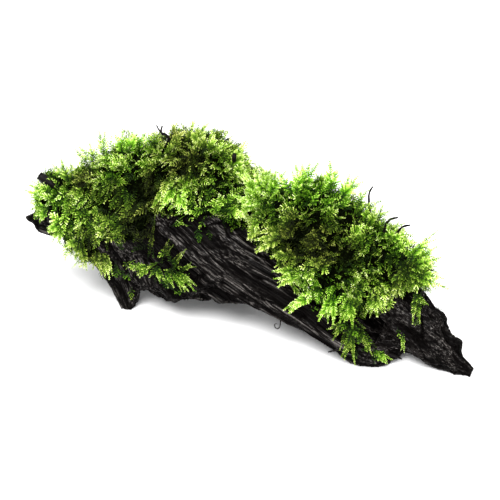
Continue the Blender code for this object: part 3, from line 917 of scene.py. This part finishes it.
def tip_tree():
    """Points where frond tips end near a surface, each with its root lower down under that surface.

    A patch grows in tufts: fronds in a tuft are proud and fully lit, and those between tufts sunk, with
    painted shade darkening their colour.
    """
    tree = GrowthTree("frond_tips")
    surface = tree.takes("Surface", "Geometry")
    density, length, depth, hang, swirl, sunk, proud, tall, light = (
        tree.takes(name) for name in Layer._fields[:-1]
    )
    ceiling, seed = tree.takes("Ceiling"), tree.takes("Seed", "Int")
    tips = tree.node(
        "GeometryNodeDistributePointsOnFaces",
        values={"Mesh": surface, "Density": density * tree.named("cover", "FLOAT"), "Seed": seed},
    )
    place, normal, room = tree.place(), tips["Normal"], tree.named("room", "FLOAT")
    tuft = clumped(tree, place, TUFT_SIZE, 1)

    # The root lies back along the drift of the fronds here, and deeper by sink
    reach = length * tree.random(0.7, 1.2, seed + 2)
    sink = tree.maths("MINIMUM", depth * tree.random(0.6, 1.0, seed + 3), room * 0.8)
    sink = tree.maths("MINIMUM", sink, reach * 0.92)
    slant = tree.maths("SQRT", reach * reach - sink * sink)
    wind = tree.noise(place, 1 / WIND_SIZE, 1.0, output="Color")
    drift = (wind - (0.5, 0.5, 0.5)) * (4 * swirl) + scattered(tree, seed + 4) * 0.45
    drift = drift + (0.0, 0.0, -1.0) * hang
    drift = tree.maths("NORMALIZE", drift - normal * tree.maths("DOT_PRODUCT", drift, normal))

    # A few fronds stand above the rest, but none above the ceiling
    standing = tree.random(0.0, 1.0, seed + 6) ** 5
    rise = proud * tuft + tall * standing - tree.maths("MINIMUM", sunk, room * 0.5) * (1 - tuft)
    height = tree.node("ShaderNodeSeparateXYZ", values={"Vector": place})["Z"]
    tip = place + normal * tree.maths("MINIMUM", rise, ceiling - height)
    root = tip - normal * sink - drift * slant

    # A root that isn't deep enough goes further in
    nearest = tree.node(
        "GeometryNodeProximity", values={"Geometry": surface, "Sample Position": root}
    )["Position"]
    inward = tree.node(
        "GeometryNodeSampleNearestSurface", {"data_type": "FLOAT_VECTOR"},
        {"Mesh": surface, "Value": tree.normal(), "Sample Position": root},
    )["Value"]
    deep = tree.maths("DOT_PRODUCT", nearest - root, inward)
    wanted = tree.maths("MINIMUM", sink * 0.7, room * 0.7)
    points = tree.store(tips["Points"], "root", root - inward * tree.maths("MAXIMUM", wanted - deep, 0.0))

    points = tree.store(points, "facing", normal * 0.8 + scattered(tree, seed + 5) * 0.75)
    points = tree.store(points, "bow", normal * (0.16 * reach))
    tone = 0.6 * clumped(tree, place, TONE_SIZE, 2) + 0.4 * tree.random(0.0, 1.0, seed + 7)
    points = tree.store(points, "tone", tone)
    # Painted shade: fronds between tufts are darkened, while tufts and the tallest fronds keep their light
    shade = 0.38 + 0.62 * tree.maths("MAXIMUM", tuft, standing)
    points = tree.store(points, "light", light * shade * tree.random(0.75, 1.0, seed + 8))
    points = tree.store(points, "size", tree.random(0.7, 1.05, seed + 9) + 0.5 * standing)
    tree.gives(tree.moved(points, Position=tip))
    return tree


def frond_tree():
    """A frond from each point's root to the point: a bowed stem with leafy branchlets on both sides."""
    tree = GrowthTree("fronds")
    tips = tree.takes("Tips", "Geometry")
    shelf = tree.takes("Branchlets", "Collection")
    spacing, length, stem, bare = (tree.takes(name) for name in Shape._fields)
    seed = tree.takes("Seed", "Int")
    material = tree.takes("Material", "Material")

    # The stems, each on a curve from root to tip that is bowed outwards
    tips = tree.store(tips, "tip", tree.place())
    line = tree.node("GeometryNodeCurvePrimitiveLine")["Curve"]
    line = tree.node("GeometryNodeResampleCurve", values={"Curve": line, "Count": 4})["Curve"]
    stems = tree.node(
        "GeometryNodeInstanceOnPoints", values={"Points": tips, "Instance": line}
    )["Instances"]
    stems = tree.realized(stems)
    t = tree.node("GeometryNodeSplineParameter")["Factor"]
    root, tip = tree.named("root"), tree.named("tip")
    middle = (root + tip) * 0.5 + tree.named("bow")
    bowed = root * ((1 - t) * (1 - t)) + middle * (2 * t * (1 - t)) + tip * (t * t)
    stems = tree.moved(stems, Position=bowed)
    stems = tree.store(stems, "along", t)
    along = tree.named("along", "FLOAT")
    profile = tree.node("GeometryNodeCurvePrimitiveCircle", values={"Resolution": 3})["Curve"]
    stalks = tree.node(
        "GeometryNodeCurveToMesh",
        values={"Curve": stems, "Profile Curve": profile, "Scale": stem * (1 - 0.6 * along)},
    )["Mesh"]

    # The branchlets, longest near the middle and laid forward at the tip
    shoots = tree.node(
        "GeometryNodeResampleCurve", {"mode": "LENGTH"}, {"Curve": stems, "Length": spacing}
    )["Curve"]
    light = tree.named("light", "FLOAT") * tree.random(0.6, 1.3, seed + 5)
    shoots = tree.store(shoots, "light", light)
    forward = tree.node("GeometryNodeInputTangent")["Tangent"]
    side = tree.maths("NORMALIZE", tree.maths("CROSS_PRODUCT", forward, tree.named("facing")))
    facing = tree.maths("CROSS_PRODUCT", side, forward)
    size = tree.smooth(along, bare, bare + 0.3, 0.4, 1.0) * tree.smooth(along, 0.4, 1.0, 1.0, 0.42)
    angle = tree.smooth(along, 0.3, 1.0, 0.95, 0.38)
    kinds = tree.node(
        "GeometryNodeCollectionInfo",
        values={"Collection": shelf, "Separate Children": True, "Reset Children": True},
    )["Instances"]
    both = []
    for hand in (1, -1):
        turned = angle + tree.random(-0.15, 0.15, seed + hand)
        direction = (
            forward * tree.maths("COSINE", turned)
            + side * (hand * tree.maths("SINE", turned))
            + facing * tree.random(-0.15, 0.25, seed + 2 * hand)
        )
        turn = tree.node(
            "FunctionNodeAxesToRotation", {"primary_axis": "X", "secondary_axis": "Z"},
            {"Primary Axis": direction, "Secondary Axis": facing},
        )["Rotation"]
        scale = size * tree.random(0.8, 1.15, seed + 3 * hand) * length * tree.named("size", "FLOAT")
        both.append(tree.node(
            "GeometryNodeInstanceOnPoints",
            values={
                "Points": shoots, "Selection": tree.maths("GREATER_THAN", along, bare), "Instance": kinds,
                "Pick Instance": True, "Instance Index": tree.maths("FLOOR", (1 - size) * 2.99),
                "Rotation": turn, "Scale": (1.0, 1.0, 1.0) * scale,
            },
        )["Instances"])
    joined = tree.node("GeometryNodeJoinGeometry", values={"Geometry": [stalks, *both]})["Geometry"]
    made = {"Geometry": tree.realized(joined), "Material": material}
    tree.gives(tree.node("GeometryNodeSetMaterial", values=made)["Geometry"])
    return tree


def finer_copy(name, nodes):
    """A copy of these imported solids, with each face cut into smaller ones."""
    surface = copy_of_nodes(name, nodes)
    modify(surface, "SUBSURF", subdivision_type="SIMPLE", levels=1, render_levels=1)
    return surface


def reach_surface(name, node):
    """A copy of a moss solid, with its room above the wood and how free each corner is for fronds."""
    surface = finer_copy(name, [node])
    spots, normals = spots_of(surface.data), normals_of(surface.data)
    wood, others = solid_tree(WOOD_NODES), solid_tree([other for other in MOSS_NODES if other != node])
    write(surface.data, "room", distances(spots, wood))
    free = 1 - np.maximum(turned_to(spots, normals, wood, 2 * MM), turned_to(spots, normals, others, 1 * MM))
    for _, first, last, *_ in FANS[node]:
        for share in (0, 0.5, 1):
            tip = np.array(first) * (1 - share) + np.array(last) * share
            away = ((spots / MM - tip) ** 2).sum(1)
            free *= 1 - FAN_CLEARING * np.exp(-away / FAN_CLEARING_RADIUS**2)
    for place, radius, share in THIN:
        away = np.linalg.norm(spots / MM - place, axis=1)
        free *= share + (1 - share) * smoothstep(away, 0.5 * radius, radius)
    write(surface.data, "cover", free)
    return surface


def creep_surface():
    """A copy of the wood, with how many stragglers each corner carries."""
    surface = finer_copy("moss_stragglers", WOOD_NODES)
    spots = spots_of(surface.data)
    outside = -depths(spots, solid_tree(PATCHES))
    cover = CREEP_EDGE_SHARE * (1 - smoothstep(outside, 0, CREEP_EDGE))
    for place, radius, share in CREEPING:
        away = np.linalg.norm(spots / MM - place, axis=1)
        cover = np.maximum(cover, share * (1 - smoothstep(away, 0.6 * radius, radius)))
    write(surface.data, "cover", cover * smoothstep(outside, -2 * MM, 0))
    write(surface.data, "room", np.full(len(spots), CREEP_ROOM))
    return surface


def held(root, rises, patch):
    """How far a fan moves so that its patch holds it, and how much deeper its root then goes.

    A fan that rises slides back along the line of sight, so that it keeps its place in the photograph's view.
    """
    slides = [-TO_CAMERA * step for step in FAN_SLIDES] if rises else []
    slide = next((s for s in slides if depths([root + s], patch)[0] > FAN_HOLD), np.zeros(3))
    normal = patch.find_nearest(Vector(root + slide))[1]
    return slide, -np.array(normal) * max(0, FAN_DEPTH - depths([root + slide], patch)[0])


def fan_tips(name, node):
    """Loose points at the tips of the listed fronds."""
    rng = np.random.default_rng(FAN_SEED)
    solid = solid_tree([node])
    rows = {"tip": [], "root": [], "bow": [], "tone": [], "size": []}
    for root, first, last, count, tone, size in FANS[node]:
        share = np.linspace(0, 1, count)[:, None]
        root, first, last = (np.array(place) * MM for place in (root, first, last))
        if node in PATCHES:
            slide, deeper = held(root, first[2] > root[2], solid)
            first, last, root = first + slide, last + slide, root + slide + deeper
        tips = first + (last - first) * share + rng.normal(0, 1, (count, 3)) * FAN_SCATTER
        roots = root + rng.normal(0, 1, (count, 3)) * FAN_SCATTER
        length = np.linalg.norm(tips - roots, axis=1)[:, None]
        rows["tip"].append(tips)
        rows["root"].append(roots)
        rows["bow"].append((rng.normal(0, 0.08, (count, 3)) + (0, 0, 0.1)) * length)
        rows["tone"].append(tone + rng.normal(0, 0.1, count))
        rows["size"].append(size * rng.uniform(0.85, 1.1, count))
    rows = {key: np.concatenate(values) for key, values in rows.items()}
    tips = rows.pop("tip")
    rows["facing"] = FAN_FACING + rng.normal(0, 0.35, tips.shape)
    rows["light"] = np.full(len(tips), FAN_LIGHT)
    mesh = bpy.data.meshes.new(name)
    mesh.from_pydata(tips.tolist(), [], [])
    for key, values in rows.items():
        write(mesh, key, values)
    return new_object(name, mesh)


def finish_fronds(fronds, *nodes):
    """Keep how grown and how green each leaf is, with its painted light and shade, and lay the leaves out by
    that on the map.
    """
    mesh = fronds.data
    values = {name: np.zeros(len(mesh.vertices), np.float32) for name in ("along", "tone", "out", "light")}
    for name, kept in values.items():
        mesh.attributes[name].data.foreach_get("value", kept)
    for name in ("root", "tip", "facing", "along", "out", "tone", "cover", "room", "bow", "light", "size"):
        if name in mesh.attributes:
            mesh.attributes.remove(mesh.attributes[name])
    spots = spots_of(mesh)
    spots[:, 2] = np.maximum(spots[:, 2], FLOOR_GAP)
    move_to(mesh, spots)
    green, light = np.zeros(len(spots)), np.ones(len(spots))
    for place, radius, zone_tone, zone_light in ZONES:
        near = np.exp(-((spots / MM - place) ** 2).sum(1) / radius**2)
        green += zone_tone * near
        light *= 1 - (1 - zone_light) * near
    # A leaf darkens towards its frond's root and in the dim zones, and is palest at the tips: painted shade
    # and a painted highlight
    growth = smoothstep(values["along"], 0.0, 0.8) * 0.5 + values["out"] * 0.6
    growth = np.clip(growth * values["light"] * light, 0, 1)
    tone = np.clip(0.25 + 0.5 * values["tone"] + green, 0, 1)
    write(mesh, "growth", growth)
    write(mesh, "tone", tone)
    corners = np.zeros(len(mesh.loops), np.int32)
    mesh.loops.foreach_get("vertex_index", corners)
    turn = np.arange(len(corners)) % 3
    across, up = growth[corners] + MAP_STEP * (turn == 1), tone[corners] + MAP_STEP * (turn == 2)
    layout = np.clip(np.stack([across, up], axis=1), 0, 1)
    chart = mesh.uv_layers.new(name="OFBake")
    chart.data.foreach_set("uv", layout.astype(np.float32).ravel())
    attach(fronds, "root")
    if nodes:
        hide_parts(*nodes)


def tangle(node):
    """The dark tangle that a patch's fronds grow from, let into the wood under it: a sheet whose near-black
    colour is painted shade in the gaps between the fronds.
    """
    mat = copy_of_nodes(node + "_tangle", [node])
    modify(mat, "REMESH", voxel_size=1.0 * MM)
    spots, normals = spots_of(mat.data), normals_of(mat.data)
    room = distances(spots, solid_tree(WOOD_NODES))
    beside = distances(spots, solid_tree([other for other in MOSS_NODES if other != node]))
    sunk = np.minimum(TANGLE_DEPTH, 0.6 * room) * smoothstep(beside, 0.6 * MM, 5 * MM)
    rooted = 1.0 * MM * (1 - smoothstep(room, 0.5 * MM, 1.6 * MM))
    move_to(mat.data, spots + normals * (rooted - sunk)[:, None])
    modify(mat, "SMOOTH", iterations=3)
    lumps = bpy.data.textures.new("lumps", "CLOUDS")
    lumps.noise_scale = 3.5 * MM
    modify(mat, "DISPLACE", texture=lumps, strength=3.0 * MM, mid_level=0.6)
    modify(mat, "REMESH", voxel_size=1.25 * MM)
    mat.data.shade_smooth()
    mat.data.materials.append(tangle_shade_material())
    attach(mat, "root")


def grow_layer(surface, layer, tips, fronds, shared):
    """Turn a surface into the fronds that end on it."""
    add_growth(surface, tips, {**layer._asdict(), "Ceiling": CEILING})
    add_growth(surface, fronds, {**shared, **FROND._asdict()})
    make_plain(surface)
    finish_fronds(surface)


def moss():
    """The fronds of every patch and tuft, and those that straggle over the wood."""
    shelf = branchlets()
    tips, fronds = tip_tree(), frond_tree()
    shared = {"Branchlets": shelf, "Material": frond_material(), "Seed": FROND_SEED}
    for node in MOSS_NODES:
        fans = fan_tips(node + "_fans", node)
        add_growth(fans, fronds, {**shared, **SPRIG._asdict()})
        make_plain(fans)
        finish_fronds(fans, node)
        for name, layer in (LAYERS if node in PATCHES else {"small": SMALL}).items():
            grow_layer(reach_surface(f"{node}_{name}", node), layer, tips, fronds, shared)
    grow_layer(creep_surface(), STRAGGLERS, tips, fronds, shared)
    for branchlet in list(shelf.objects):
        bpy.data.objects.remove(branchlet)
    bpy.data.collections.remove(shelf)


# The studio


def stage_floor():
    bm = bmesh.new()
    bmesh.ops.create_circle(bm, cap_ends=True, radius=6, segments=96)
    floor = new_object("floor", mesh_of("floor", bm))
    pale = {"Base Color": (0.86, 0.86, 0.86, 1), "Roughness": 0.8}
    floor.data.materials.append(MaterialTree("pale_floor").shaded(pale))


def lamp(name, kind, place, facing, **settings):
    """A light at a place, on the side that the facing direction points to."""
    light = bpy.data.lights.new(name, kind)
    for setting, value in settings.items():
        setattr(light, setting, value)
    obj = new_object(name, light)
    obj.location = place
    obj.rotation_euler = Vector(facing).to_track_quat("Z", "Y").to_euler()


def stage_lights():
    world = bpy.data.worlds.new("studio")
    world.use_nodes = True
    world.node_tree.nodes["Background"].inputs["Color"].default_value = (1, 1, 1, 1)
    world.node_tree.nodes["Background"].inputs["Strength"].default_value = WORLD_LIGHT
    bpy.context.scene.world = world
    bpy.context.scene.view_settings.view_transform = "Standard"
    lamp("key", "SUN", (0, 0, 0), KEY_FROM, energy=KEY_LIGHT, angle=KEY_SPREAD)
    for name, place, size, power in SOFT_LAMPS:
        lamp(name, "AREA", place, Vector(place) - Vector(LAMPS_AIM), size=size, energy=power)


def camera():
    """The camera at the photograph's viewing angle."""
    data = bpy.data.cameras.new("camera")
    data.lens = LENS
    data.sensor_width = SENSOR
    obj = new_object("camera", data)
    obj.location = VIEW_AIM + Vector(TO_CAMERA) * VIEW_DISTANCE
    obj.rotation_euler = Vector(-TO_CAMERA).to_track_quat("-Z", "Y").to_euler()
    bpy.context.scene.camera = obj


def main():
    camera()
    stage_floor()
    stage_lights()
    for node in PATCHES:
        tangle(node)
    driftwood()
    dead_stems()
    moss()


main()
